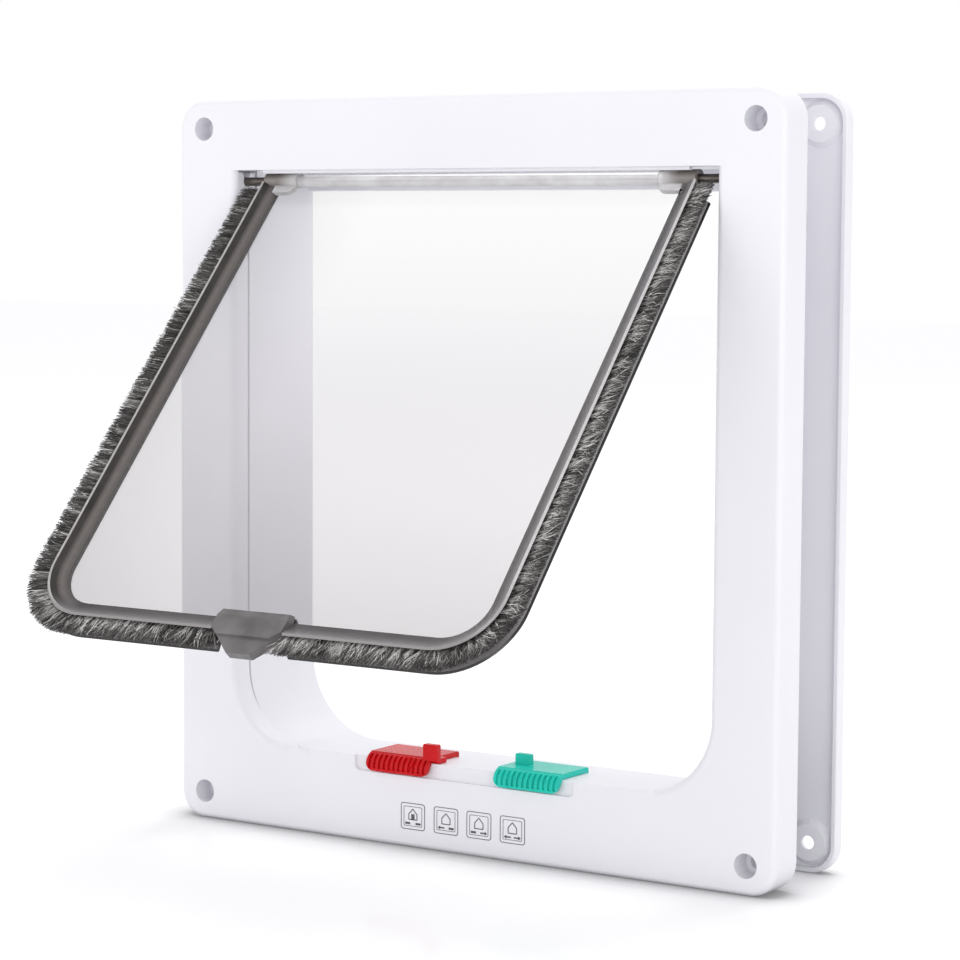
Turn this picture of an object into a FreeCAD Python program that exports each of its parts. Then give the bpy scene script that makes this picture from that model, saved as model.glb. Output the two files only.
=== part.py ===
import FreeCAD, Part
import math
import os

os.makedirs("parts", exist_ok=True)

V = FreeCAD.Vector

# Cat flap for a door, sizes in mm. X runs across the door, Y from the room to the outside, Z up.
# The origin is the centre of the four fixing holes, on the door side of the front frame.

# Both frames
FRAME_W = 235.0
FRAME_H = 250.0
FRAME_CORNER_R = 9.5
FRAME_EDGE_R = 2.0
DOOR_GAP = 27.6

# Front frame, a hollow tray that is open to the door
FRONT_DEPTH = 14.0
FRONT_PLATE = 3.0
FRONT_RIM = 2.2
FRONT_POST_W = 12.4

# Rear frame, a shallow tray that faces the front one
REAR_DEPTH = 5.0
REAR_PLATE = 1.8
REAR_RIM = 1.6
REAR_EDGE_BEVEL = 0.8
REAR_LIP_BEVEL = 0.4
REAR_BOSS_R = 5.9
REAR_BOSS_FOOT_R = 7.7
REAR_BOSS_SET_BACK = 1.3
REAR_BOSS_FLOOR = 1.4

# Four fixing screws pass both frames
HOLE_INSET_X = 10.6
HOLE_INSET_Z = 9.6
HOLE_R = 2.25
COUNTERBORE_R = 4.0
COUNTERBORE_DEPTH = 8.0

# The way through for the cat, and the frame's borders round it
SIDE_BORDER = 24.0
TOP_BORDER = 23.8
BOTTOM_BORDER = 29.0
OPENING_R = 25.0
OPENING_EDGE_R = 2.5
LIP_DEPTH = 8.0

# Rear tunnel, which slides inside the front sleeve to suit the door
TUNNEL_WALL = 2.0
TUNNEL_FIT = 0.4
TUNNEL_SEAM = 0.9
TUNNEL_DROP = 3.6
SLEEVE_WALL = 2.0
SLEEVE_REACH = 20.0
SLEEVE_BITE = 0.4
DRAUGHT_BAR_DROP = 7.1
DRAUGHT_BAR_THICK = 3.1
DRAUGHT_BAR_ROUND = 0.8

# Stiffening webs inside the front tray
WEB_THICK = 1.6
WEB_SET_BACK = 1.5
WEB_XS = (-60.0, 0.0, 60.0)
WEB_ZS = (-45.0, 25.0, 80.0)

# Hinge line and swing of the flap
HINGE_BELOW_TOP = 3.8
HINGE_BEHIND_FACE = 6.9
OPEN_ANGLE = 41.65
PIN_R = 1.5
PIN_LENGTH = 22.6
PIN_PRESS_GAP = 0.02
PIN_RUN_GAP = 0.05
PIN_END_GAP = 0.2

# Hinge sockets in the side walls, each with a snap-in bush
SOCKET_W = 9.4
SOCKET_BELOW = 4.9
SOCKET_DEPTH = 3.9
SOCKET_WALL = 1.8
BUSH_GAP = 0.1
BUSH_ABOVE = 3.0
BUSH_MOUTH_W = 5.0
BUSH_SNAP_W = 2.6
BUSH_INSET = 0.2

# Draught lip above the hinge bar
LIP_DROP = 1.2
LIP_THICK = 2.0
LIP_SET_BACK = 2.0
LIP_SIDE_GAP = 10.5

# Clear flap, with its gaps to the opening's sides and floor and its offset behind the hinge line
PANE_SIDE_GAP = 15.2
PANE_FLOOR_GAP = 17.1
PANE_CORNER_R = 13.3
PANE_THICK = 2.0
PANE_OFFSET = 0.66
PANE_TOP_GAP = 0.6
BAR_R = 2.2
KNUCKLE_R = 3.0
KNUCKLE_GRIP = 7.8
KNUCKLE_REACH = 5.7
GUSSET_DROP = 5.8
GUSSET_R = 3.5
GUSSET_FRONT = 1.0

# Channel round the flap that grips the pile
CHANNEL_FRONT_W = 6.3
CHANNEL_FRONT_RISE = 3.46
CHANNEL_REAR_W = 9.9
CHANNEL_REAR_RISE = 2.8
CHANNEL_WALL = 1.2
CHANNEL_THROAT = 1.6
CHANNEL_BITE = 0.8
CHANNEL_TOP_FRONT = 2.0
CHANNEL_TOP_REAR = 6.4

# Pile strips
PILE_ROOT = 0.6
PILE_GAP = 0.15
PILE_REACH = 13.7
PILE_REACH_REAR = 8.9
PILE_FAN = 1.0
PILE_TOP = 7.0
PILE_END_GAP = 0.4
PILE_TIP_BEVEL = 1.2
LOCK_ZONE_W = 15.0

# Magnet holder clipped to the flap's bottom edge, and the lock parts below it
LOCK_X = 1.5
HOLDER_W = 26.0
HOLDER_GRIP = 2.3
HOLDER_FRONT = 3.4
HOLDER_REAR = 4.6
HOLDER_FACE_DROP = 8.4
TONGUE_DROP = 13.7
TONGUE_W = 8.6
TONGUE_CHAMFER_DROP = 5.7
TONGUE_FRONT = 1.7
TONGUE_REAR = 1.2
HOLDER_GAP = 0.1
MAGNET_W = 16.0
MAGNET_H = 5.4
FLAP_MAGNET_T = 5.0
FLAP_MAGNET_INSET = 0.2
SILL_MAGNET_T = 4.0
SILL_MAGNET_SET_BACK = 2.8

# Sill rail let into the front frame
RAIL_SIDE_GAP = 21.0
RAIL_DEPTH = 16.3
RAIL_THICK = 1.9
RAIL_TOP_RISE = 0.1
RAIL_FRONT_R = 10.0
RAIL_REAR_R = 0.8
RAIL_FIT = 0.1
RAIL_KEEL = 1.4
RAIL_KEEL_INSET = 12.0
RAIL_KEEL_GAP = 0.15
RECESS_X = 1.0
RECESS_W = 86.6
RECESS_DEPTH = 1.2
RECESS_DROP = 5.0
RECESS_R = 2.0

# Lock sliders that ride on the rail
SLIDER_W = 24.8
SLIDER_GAP = 0.15
SLIDER_PLATE = 1.75
SLIDER_LEG_DROP = 6.2
SLIDER_BULGE_R = 4.7
SLIDER_BULGE_SHIFT = 1.3
SLIDER_SKIN = 1.8
SLIDER_HOOK = 1.15
SLIDER_BARB = 0.95
SLIDER_BARB_DROP = 1.1
SLIDER_END_R = 2.8
GROOVE_COUNT = 12
GROOVE_W = 0.95
GROOVE_DEPTH = 0.55
GROOVE_BAND = 0.9
GROOVE_SIDES = 12
TAB_W = 5.8
TAB_T = 2.0
RED_X = -24.0
RED_TAB_X = -11.5
RED_TAB_SET_BACK = 0.0
RED_TAB_RISE = 4.7
TEAL_X = 27.0
TEAL_TAB_X = 19.4
TEAL_TAB_SET_BACK = 8.8
TEAL_TAB_RISE = 3.5
TAB_ROUND = 0.6

# Places that follow from the sizes above
HOLE_SPACING_X = FRAME_W - 2 * HOLE_INSET_X
HOLE_SPACING_Z = FRAME_H - 2 * HOLE_INSET_Z
HALF_OPENING = FRAME_W / 2 - SIDE_BORDER
OPENING_TOP = FRAME_H / 2 - TOP_BORDER
OPENING_BOTTOM = BOTTOM_BORDER - FRAME_H / 2
FRONT_FACE = -FRONT_DEPTH
REAR_LIP = DOOR_GAP
REAR_FACE = DOOR_GAP + REAR_DEPTH
REAR_BOSS_FACE = REAR_LIP + REAR_BOSS_SET_BACK
LIP_BACK = FRONT_FACE + LIP_DEPTH
TUNNEL_FRONT = LIP_BACK + TUNNEL_SEAM
TUNNEL_FLOOR = OPENING_BOTTOM - TUNNEL_DROP
HINGE_Y = FRONT_FACE + HINGE_BEHIND_FACE
HINGE_Z = OPENING_TOP - HINGE_BELOW_TOP
PANE_HALF_W = HALF_OPENING - PANE_SIDE_GAP
PANE_DROP = HINGE_Z - OPENING_BOTTOM - PANE_FLOOR_GAP
KNUCKLE_IN = PANE_HALF_W - KNUCKLE_GRIP
KNUCKLE_OUT = PANE_HALF_W + KNUCKLE_REACH
LIP_HALF_W = HALF_OPENING - LIP_SIDE_GAP
RAIL_W = 2 * (HALF_OPENING - RAIL_SIDE_GAP)
RAIL_TOP = OPENING_BOTTOM + RAIL_TOP_RISE
RAIL_SEAT = RAIL_TOP - RAIL_THICK
RAIL_BACK = FRONT_FACE + RAIL_DEPTH
RECESS_FLOOR = FRONT_FACE + RECESS_DEPTH
THROUGH = 1.0


def box(x0, x1, y0, y1, z0, z1):
    return Part.makeBox(x1 - x0, y1 - y0, z1 - z0, V(x0, y0, z0))


def cylinder_y(x, z, r, y0, y1):
    return Part.makeCylinder(r, y1 - y0, V(x, y0, z), V(0, 1, 0))


def cylinder_x(x0, x1, y, z, r):
    return Part.makeCylinder(r, x1 - x0, V(x0, y, z), V(1, 0, 0))


def mirrored(shape):
    return shape.mirror(V(0, 0, 0), V(1, 0, 0))


def joined(shapes):
    whole = shapes[0].multiFuse(shapes[1:])
    return whole.removeSplitter()


def rounded_outline(left, right, bottom, top, r_bottom, r_top, y):
    """Closed outline in the XZ plane, with its own radius for the lower and the upper corners."""
    corners = [
        (left, bottom, r_bottom, 180.0),
        (right, bottom, r_bottom, 270.0),
        (right, top, r_top, 0.0),
        (left, top, r_top, 90.0),
    ]
    marks = []
    for x, z, r, start in corners:
        cx = x + r if x == left else x - r
        cz = z + r if z == bottom else z - r
        arc = []
        for turn in (0.0, 45.0, 90.0):
            a = math.radians(start + turn)
            arc.append(V(cx + r * math.cos(a), y, cz + r * math.sin(a)))
        marks.append((arc, r))
    edges = []
    for i, (arc, r) in enumerate(marks):
        if r > 0:
            edges.append(Part.Arc(arc[0], arc[1], arc[2]).toShape())
        after = marks[(i + 1) % len(marks)][0]
        edges.append(Part.makeLine(arc[2], after[0]))
    return Part.Wire(edges)


def slab(wire, depth):
    return Part.Face(wire).extrude(V(0, depth, 0))


def frame_block(inset, y0, y1):
    half_w = FRAME_W / 2 - inset
    half_h = FRAME_H / 2 - inset
    r = FRAME_CORNER_R - inset
    wire = rounded_outline(-half_w, half_w, -half_h, half_h, r, r, y0)
    return slab(wire, y1 - y0)


def opening_block(grow, drop, y0, y1):
    """The opening's own section, grown by a wall, with its floor lowered by drop."""
    half_w = HALF_OPENING + grow
    bottom = OPENING_BOTTOM - drop - grow
    top = OPENING_TOP + grow
    wire = rounded_outline(-half_w, half_w, bottom, top, OPENING_R + grow + drop, grow, y0)
    return slab(wire, y1 - y0)


def section_wire(start, steps, place):
    """Wire from a start point and steps: a point is a line's end, a pair of points an arc."""
    edges = []
    here = place(*start)
    for step in steps:
        if isinstance(step[0], tuple):
            mid, end = place(*step[0]), place(*step[1])
            edges.append(Part.Arc(here, mid, end).toShape())
        else:
            end = place(*step)
            edges.append(Part.makeLine(here, end))
        here = end
    return Part.Wire(edges)


def edges_on_y(shape, y, keep):
    found = []
    for edge in shape.Edges:
        b = edge.BoundBox
        if abs(b.YMin - y) < 1e-4 and abs(b.YMax - y) < 1e-4 and keep(b.Center):
            found.append(edge)
    return found


def round_opening(drop):
    """Says whether an edge's middle lies on the opening's contour, its top side left out."""
    def keep(c):
        inside_x = abs(c.x) < HALF_OPENING + THROUGH
        return inside_x and OPENING_BOTTOM - drop - THROUGH < c.z < OPENING_TOP - THROUGH
    return keep


def fixing_places():
    for sx in (-1, 1):
        for sz in (-1, 1):
            yield sx * HOLE_SPACING_X / 2, sz * HOLE_SPACING_Z / 2


def tray_webs(wall_reach, y0, y1):
    """Thin webs from the sleeve to the tray's rim, above, below and at the sides."""
    webs = []
    outer_x = FRAME_W / 2 - FRONT_RIM / 2
    outer_z = FRAME_H / 2 - FRONT_RIM / 2
    inner_x = HALF_OPENING + wall_reach
    inner_top = OPENING_TOP + wall_reach
    inner_bottom = TUNNEL_FLOOR - wall_reach
    for x in WEB_XS:
        x0, x1 = x - WEB_THICK / 2, x + WEB_THICK / 2
        webs.append(box(x0, x1, y0, y1, inner_top, outer_z))
        webs.append(box(x0, x1, y0, y1, -outer_z, inner_bottom))
    for z in WEB_ZS:
        z0, z1 = z - WEB_THICK / 2, z + WEB_THICK / 2
        webs.append(box(inner_x, outer_x, y0, y1, z0, z1))
        webs.append(box(-outer_x, -inner_x, y0, y1, z0, z1))
    return webs


def hinge_housing():
    """Solid pads outside the lip that give the hinge sockets a wall."""
    x0 = HALF_OPENING + TUNNEL_WALL
    x1 = HALF_OPENING + SOCKET_DEPTH + SOCKET_WALL
    y0 = FRONT_FACE + FRONT_PLATE / 2
    z0 = HINGE_Z - SOCKET_BELOW - SOCKET_WALL
    right = box(x0, x1, y0, 0, z0, OPENING_TOP + SLEEVE_WALL)
    return [right, mirrored(right)]


def hinge_socket_cuts():
    """Open sockets in the side walls, closed in front by the frame's face."""
    y0 = HINGE_Y - SOCKET_W / 2
    y1 = HINGE_Y + SOCKET_W / 2
    right = box(HALF_OPENING - THROUGH, HALF_OPENING + SOCKET_DEPTH, y0, y1,
                HINGE_Z - SOCKET_BELOW, OPENING_TOP)
    return [right, mirrored(right)]


def draught_lip():
    y0 = FRONT_FACE + LIP_SET_BACK
    z0 = OPENING_TOP - LIP_DROP
    lip = box(-LIP_HALF_W, LIP_HALF_W, y0, y0 + LIP_THICK, z0, OPENING_TOP + THROUGH)
    low = [e for e in lip.Edges if e.BoundBox.ZMax < z0 + 1e-4 and e.Length > LIP_HALF_W]
    return lip.makeFillet(LIP_DROP / 3, low)


def slider_recess():
    """Shallow pocket in the front face where the sliders' legs run."""
    x0 = RECESS_X - RECESS_W / 2
    z0 = RAIL_TOP - RECESS_DROP
    wire = rounded_outline(x0, x0 + RECESS_W, z0, OPENING_BOTTOM + THROUGH, RECESS_R, 0,
                           FRONT_FACE - THROUGH)
    return slab(wire, THROUGH + RECESS_DEPTH)


def sill_magnet_box(gap):
    y0 = RECESS_FLOOR + SILL_MAGNET_SET_BACK - gap
    y1 = RECESS_FLOOR + SILL_MAGNET_SET_BACK + SILL_MAGNET_T + gap
    half = MAGNET_W / 2 + gap
    top = RAIL_SEAT - HOLDER_GAP + gap
    return box(LOCK_X - half, LOCK_X + half, y0, y1, top - MAGNET_H - 2 * gap, top)


def front_block():
    """Block of the front frame, rounded towards the room outside and at the opening."""
    block = frame_block(0, FRONT_FACE, 0)
    block = block.makeFillet(FRAME_EDGE_R, edges_on_y(block, FRONT_FACE, lambda c: True))
    block = block.cut(opening_block(0, 0, FRONT_FACE - THROUGH, THROUGH))
    return block.makeFillet(OPENING_EDGE_R, edges_on_y(block, FRONT_FACE, round_opening(0)))


def sill_pad():
    """Seat for the rail, which fills the opening's rounding along the sill."""
    return box(LOCK_X - RAIL_W / 2, LOCK_X + RAIL_W / 2, FRONT_FACE, FRONT_FACE + FRONT_PLATE,
               OPENING_BOTTOM - OPENING_EDGE_R - THROUGH, OPENING_BOTTOM)


def rail_outline(grow, z0, z1):
    """The sill rail's outline from above, with large front corners, as a plate."""
    x0, x1 = LOCK_X - RAIL_W / 2 - grow, LOCK_X + RAIL_W / 2 + grow
    plate = box(x0, x1, FRONT_FACE - grow, RAIL_BACK + grow, z0, z1)
    front = [e for e in plate.Edges
             if e.BoundBox.YMax < FRONT_FACE + 1e-4 and e.BoundBox.ZLength > (z1 - z0) / 2]
    plate = plate.makeFillet(RAIL_FRONT_R + grow, front)
    rear = [e for e in plate.Edges
            if e.BoundBox.YMin > RAIL_BACK - 1e-4 and e.BoundBox.ZLength > (z1 - z0) / 2]
    return plate.makeFillet(RAIL_REAR_R + grow, rear)


def front_frame():
    tray = front_block().cut(frame_block(FRONT_RIM, FRONT_FACE + FRONT_PLATE, THROUGH))
    wall = TUNNEL_WALL + TUNNEL_FIT
    sleeve_y = FRONT_FACE + FRONT_PLATE - SLEEVE_BITE
    sleeve = opening_block(wall + SLEEVE_WALL, TUNNEL_DROP, sleeve_y, SLEEVE_REACH)
    pieces = [tray, sill_pad(), sleeve]
    solid_y = FRONT_FACE + FRONT_PLATE / 2
    post = FRONT_POST_W / 2
    for x, z in fixing_places():
        pieces.append(box(x - post, x + post, solid_y, 0, z - post, z + post))
    webs = tray_webs(wall + SLEEVE_WALL / 2, solid_y, -WEB_SET_BACK)
    body = joined(pieces + webs + hinge_housing())

    cuts = [
        opening_block(wall, TUNNEL_DROP, LIP_BACK, SLEEVE_REACH + THROUGH),
        opening_block(0, 0, FRONT_FACE - THROUGH, LIP_BACK + THROUGH),
        rail_outline(RAIL_FIT, RAIL_SEAT, RAIL_TOP + THROUGH),
        slider_recess(),
        sill_magnet_box(HOLDER_GAP),
    ]
    for x, z in fixing_places():
        cuts.append(cylinder_y(x, z, HOLE_R, FRONT_FACE, THROUGH))
        cuts.append(cylinder_y(x, z, COUNTERBORE_R, FRONT_FACE - THROUGH,
                               FRONT_FACE + COUNTERBORE_DEPTH))
    body = body.cut(cuts + hinge_socket_cuts())
    return joined([body, draught_lip()])


def rear_boss(x, z):
    """Raised seat for a screw, with a sloping foot on the plate."""
    plate_y = REAR_FACE - REAR_PLATE
    seat = cylinder_y(x, z, REAR_BOSS_R, REAR_BOSS_FACE, REAR_FACE - REAR_EDGE_BEVEL)
    foot = Part.makeCone(REAR_BOSS_R, REAR_BOSS_FOOT_R, plate_y - REAR_BOSS_FACE,
                         V(x, REAR_BOSS_FACE, z), V(0, 1, 0))
    return [seat, foot]


def draught_bar():
    bar_z = OPENING_TOP - DRAUGHT_BAR_DROP
    half = HALF_OPENING + TUNNEL_WALL / 2
    bar = box(-half, half, REAR_FACE - DRAUGHT_BAR_THICK, REAR_FACE, bar_z,
              OPENING_TOP + TUNNEL_WALL / 2)
    low = [e for e in bar.Edges if e.BoundBox.ZMax < bar_z + 1e-4 and e.Length > half]
    return bar.makeFillet(DRAUGHT_BAR_ROUND, low)


def rear_frame():
    block = frame_block(0, REAR_LIP, REAR_FACE)
    block = block.makeChamfer(REAR_EDGE_BEVEL, edges_on_y(block, REAR_FACE, lambda c: True))
    block = block.makeChamfer(REAR_LIP_BEVEL, edges_on_y(block, REAR_LIP, lambda c: True))
    tray = block.cut(frame_block(REAR_RIM, REAR_LIP - THROUGH, REAR_FACE - REAR_PLATE))
    pieces = [tray, opening_block(TUNNEL_WALL, TUNNEL_DROP, TUNNEL_FRONT, REAR_FACE)]
    for x, z in fixing_places():
        pieces += rear_boss(x, z)
    body = joined(pieces)
    body = body.cut(opening_block(0, TUNNEL_DROP, TUNNEL_FRONT - THROUGH, REAR_FACE + THROUGH))
    rear_edges = edges_on_y(body, REAR_FACE, round_opening(TUNNEL_DROP))
    body = body.makeChamfer(REAR_EDGE_BEVEL, rear_edges)

    cuts = []
    for x, z in fixing_places():
        cuts.append(cylinder_y(x, z, HOLE_R, REAR_LIP - THROUGH, REAR_FACE))
        cuts.append(cylinder_y(x, z, COUNTERBORE_R, REAR_BOSS_FACE + REAR_BOSS_FLOOR,
                               REAR_FACE + THROUGH))
    socket_back = HINGE_Y + SOCKET_W / 2 + TUNNEL_SEAM
    notch = box(HALF_OPENING - THROUGH, HALF_OPENING + TUNNEL_WALL + THROUGH,
                TUNNEL_FRONT - THROUGH, socket_back,
                HINGE_Z - SOCKET_BELOW - TUNNEL_SEAM, OPENING_TOP + TUNNEL_WALL + THROUGH)
    return joined([body, draught_bar()]).cut(cuts + [notch, mirrored(notch)])


def sill_rail():
    x0, x1 = LOCK_X - RAIL_W / 2, LOCK_X + RAIL_W / 2
    plate = rail_outline(0, RAIL_SEAT, RAIL_TOP)
    recess = box(RECESS_X - RECESS_W / 2, RECESS_X + RECESS_W / 2, FRONT_FACE - THROUGH,
                 RECESS_FLOOR, RAIL_SEAT - THROUGH, RAIL_TOP + THROUGH)
    keel_y = LIP_BACK + RAIL_KEEL_GAP
    keel = box(x0 + RAIL_KEEL_INSET, x1 - RAIL_KEEL_INSET, keel_y, keel_y + RAIL_KEEL,
               RAIL_SEAT - RAIL_KEEL, RAIL_SEAT + RAIL_THICK / 2)
    return joined([plate.cut(recess), keel])


def sill_magnet():
    return sill_magnet_box(0)


def hinge_bush():
    """Bush for the right-hand socket: a block with a bore and a snap-in mouth above it."""
    x0 = HALF_OPENING + BUSH_INSET
    x1 = HALF_OPENING + SOCKET_DEPTH - BUSH_GAP
    half = SOCKET_W / 2 - BUSH_GAP
    z0 = HINGE_Z - SOCKET_BELOW + BUSH_GAP
    z1 = HINGE_Z + BUSH_ABOVE
    block = box(x0, x1, HINGE_Y - half, HINGE_Y + half, z0, z1)
    bore_r = PIN_R + PIN_RUN_GAP
    bore = cylinder_x(x0 - THROUGH, x1 - BUSH_GAP, HINGE_Y, HINGE_Z, bore_r)
    mouth = [
        (HINGE_Y - BUSH_SNAP_W / 2, HINGE_Z),
        (HINGE_Y - BUSH_SNAP_W / 2, HINGE_Z + bore_r),
        (HINGE_Y - BUSH_MOUTH_W / 2, z1 + THROUGH),
        (HINGE_Y + BUSH_MOUTH_W / 2, z1 + THROUGH),
        (HINGE_Y + BUSH_SNAP_W / 2, HINGE_Z + bore_r),
        (HINGE_Y + BUSH_SNAP_W / 2, HINGE_Z),
    ]
    points = [V(x0 - THROUGH, y, z) for y, z in mouth]
    face = Part.Face(Part.makePolygon(points + points[:1]))
    slot = face.extrude(V(x1 - x0 + THROUGH - BUSH_GAP, 0, 0))
    return block.cut([bore, slot])


def pin_end():
    return HALF_OPENING + SOCKET_DEPTH - 2 * BUSH_GAP - PIN_END_GAP


def hinge_pin():
    """Right-hand pin, pressed into the flap's knuckle."""
    return cylinder_x(pin_end() - PIN_LENGTH, pin_end(), HINGE_Y, HINGE_Z, PIN_R)


def flap_point(out, toward_room, drop=0.0):
    """Flap's own place: distance out from the hinge's middle, offset to the room, drop."""
    return V(out, HINGE_Y - toward_room, HINGE_Z - drop)


def rim_half(start, steps, side_top, bottom_end):
    """Right-hand half of a rim: a section run down the side, round the corner and along."""
    centre_x = PANE_HALF_W - PANE_CORNER_R
    centre_drop = PANE_DROP - PANE_CORNER_R

    def upright(out, room):
        return flap_point(PANE_HALF_W + out, room, centre_drop)

    def level(out, room):
        return flap_point(centre_x, room, PANE_DROP + out)

    side_face = Part.Face(section_wire(start, steps, upright))
    side = side_face.extrude(V(0, 0, centre_drop - side_top))
    axis_at = V(centre_x, HINGE_Y, HINGE_Z - centre_drop)
    corner = side_face.revolve(axis_at, V(0, 1, 0), 90.0)
    bottom_face = Part.Face(section_wire(start, steps, level))
    bottom = bottom_face.extrude(V(bottom_end - centre_x, 0, 0))
    return [side, corner, bottom]


def channel_section():
    """Y-shaped section: two flared walls that start inside the pane's edge."""
    front = -PANE_OFFSET
    back = front - PANE_THICK
    middle = (front + back) / 2
    front_tip = front + CHANNEL_FRONT_RISE
    back_tip = back - CHANNEL_REAR_RISE
    half_wall = CHANNEL_WALL / 2
    throat = PANE_THICK / 4
    bite_front = CHANNEL_BITE * CHANNEL_FRONT_RISE / (CHANNEL_FRONT_W - half_wall)
    bite_back = CHANNEL_BITE * CHANNEL_REAR_RISE / (CHANNEL_REAR_W - half_wall)
    start = (-CHANNEL_BITE, front - bite_front)
    steps = [
        (CHANNEL_FRONT_W - half_wall, front_tip),
        (CHANNEL_FRONT_W, front_tip - half_wall),
        (CHANNEL_FRONT_W - half_wall, front_tip - CHANNEL_WALL),
        (CHANNEL_THROAT, middle + throat),
        (CHANNEL_THROAT, middle - throat),
        (CHANNEL_REAR_W - half_wall, back_tip + CHANNEL_WALL),
        (CHANNEL_REAR_W, back_tip + half_wall),
        (CHANNEL_REAR_W - half_wall, back_tip),
        (-CHANNEL_BITE, back + bite_back),
        start,
    ]
    return start, steps


def pile_section():
    """Pile between the channel's walls: it follows them, then fans out to slanting tips."""
    middle = -PANE_OFFSET - PANE_THICK / 2
    throat = PANE_THICK / 4
    root = CHANNEL_THROAT + PILE_ROOT
    front_tip = -PANE_OFFSET + CHANNEL_FRONT_RISE - CHANNEL_WALL
    back_tip = -PANE_OFFSET - PANE_THICK - CHANNEL_REAR_RISE + CHANNEL_WALL
    front_slope = (front_tip - middle - throat) / (CHANNEL_FRONT_W - CHANNEL_WALL / 2
                                                   - CHANNEL_THROAT)
    back_slope = (back_tip - middle + throat) / (CHANNEL_REAR_W - CHANNEL_WALL / 2
                                                 - CHANNEL_THROAT)
    root_front = middle + throat + front_slope * PILE_ROOT - PILE_GAP
    root_back = middle - throat + back_slope * PILE_ROOT + PILE_GAP
    tip_front = front_tip - PILE_GAP + PILE_FAN
    tip_back = root_back + back_slope * (PILE_REACH_REAR - root)
    steps = [
        (CHANNEL_FRONT_W, front_tip - PILE_GAP),
        (PILE_REACH - PILE_TIP_BEVEL, tip_front),
        (PILE_REACH, tip_front - PILE_TIP_BEVEL),
        (PILE_REACH_REAR, tip_back),
        (root, root_back),
        (root, root_front),
    ]
    return (root, root_front), steps


def tip_limit():
    """Drop that still swings clear over the lock tabs."""
    return HINGE_Z - slider_top() - RED_TAB_RISE - 2 * SLIDER_GAP


def clear_pane():
    half_w = PANE_HALF_W + CHANNEL_BITE
    wire = rounded_outline(-half_w, half_w, HINGE_Z - PANE_DROP - CHANNEL_BITE,
                           HINGE_Z - PANE_TOP_GAP, PANE_CORNER_R + CHANNEL_BITE, 0,
                           HINGE_Y + PANE_OFFSET)
    return slab(wire, PANE_THICK)


def knuckle_and_gusset():
    """Right-hand end of the hinge bar, with the gusset that ties it to the pane."""
    knuckle = cylinder_x(KNUCKLE_IN, KNUCKLE_OUT, HINGE_Y, HINGE_Z, KNUCKLE_R)
    gusset = box(KNUCKLE_IN, PANE_HALF_W + THROUGH, HINGE_Y - GUSSET_FRONT,
                 HINGE_Y + PANE_OFFSET + PANE_THICK, HINGE_Z - GUSSET_DROP, HINGE_Z)
    inner = [e for e in gusset.Edges
             if e.BoundBox.XMax < KNUCKLE_IN + 1e-4 and e.BoundBox.ZMax < HINGE_Z - GUSSET_DROP + 1e-4]
    return [knuckle, gusset.makeFillet(GUSSET_R, inner)]


def channel_top_cut():
    """Slanting end of the channel at the top of the right-hand side, clear of the knuckle."""
    back = -PANE_OFFSET - PANE_THICK - CHANNEL_REAR_RISE
    top = [
        flap_point(0, HOLDER_FRONT, CHANNEL_TOP_FRONT),
        flap_point(0, back, CHANNEL_TOP_REAR),
        flap_point(0, back, -CHANNEL_TOP_REAR),
        flap_point(0, HOLDER_FRONT, -CHANNEL_TOP_REAR),
    ]
    wedge = Part.Face(Part.makePolygon(top + top[:1])).extrude(V(CHANNEL_REAR_W, 0, 0))
    wedge.translate(V(PANE_HALF_W + THROUGH, 0, 0))
    return wedge.cut(cylinder_x(PANE_HALF_W, KNUCKLE_OUT, HINGE_Y, HINGE_Z, KNUCKLE_R))


def holder_gap():
    """Break in the channel for the magnet holder, which leaves the pane's own edge."""
    x0 = LOCK_X - HOLDER_W / 2 - HOLDER_GAP
    x1 = LOCK_X + HOLDER_W / 2 + HOLDER_GAP
    edge_z = HINGE_Z - PANE_DROP
    pane_y = HINGE_Y + PANE_OFFSET
    gap = box(x0, x1, HINGE_Y - 2 * HOLDER_REAR, HINGE_Y + 2 * HOLDER_REAR,
              edge_z - 2 * CHANNEL_REAR_W, edge_z + CHANNEL_WALL / 2)
    return gap.cut(box(x0, x1, pane_y, pane_y + PANE_THICK, edge_z, edge_z + CHANNEL_WALL))


def closed_flap_panel():
    start, steps = channel_section()
    ends = rim_half(start, steps, CHANNEL_TOP_FRONT, 0.0) + knuckle_and_gusset()
    bar = cylinder_x(-KNUCKLE_IN, KNUCKLE_IN, HINGE_Y, HINGE_Z, BAR_R)
    body = joined([clear_pane(), bar] + ends + [mirrored(e) for e in ends])
    bore = cylinder_x(pin_end() - PIN_LENGTH - PIN_END_GAP, KNUCKLE_OUT + THROUGH, HINGE_Y,
                      HINGE_Z, PIN_R + PIN_PRESS_GAP)
    wedge = channel_top_cut()
    return body.cut([wedge, mirrored(wedge), bore, mirrored(bore), holder_gap()])


def closed_pile(side):
    """One pile strip, from the top of a side round the corner to the magnet holder."""
    start, steps = pile_section()
    end = side * LOCK_X + HOLDER_W / 2 + PILE_END_GAP
    strip = joined(rim_half(start, steps, PILE_TOP, end))
    lock_half = LOCK_ZONE_W
    lock_zone = box(end - lock_half, end + lock_half, HINGE_Y - 2 * HOLDER_REAR,
                    HINGE_Y + 2 * HOLDER_REAR, HINGE_Z - 2 * PANE_DROP, HINGE_Z - tip_limit())
    strip = strip.cut(lock_zone)
    return strip if side > 0 else mirrored(strip)


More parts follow.
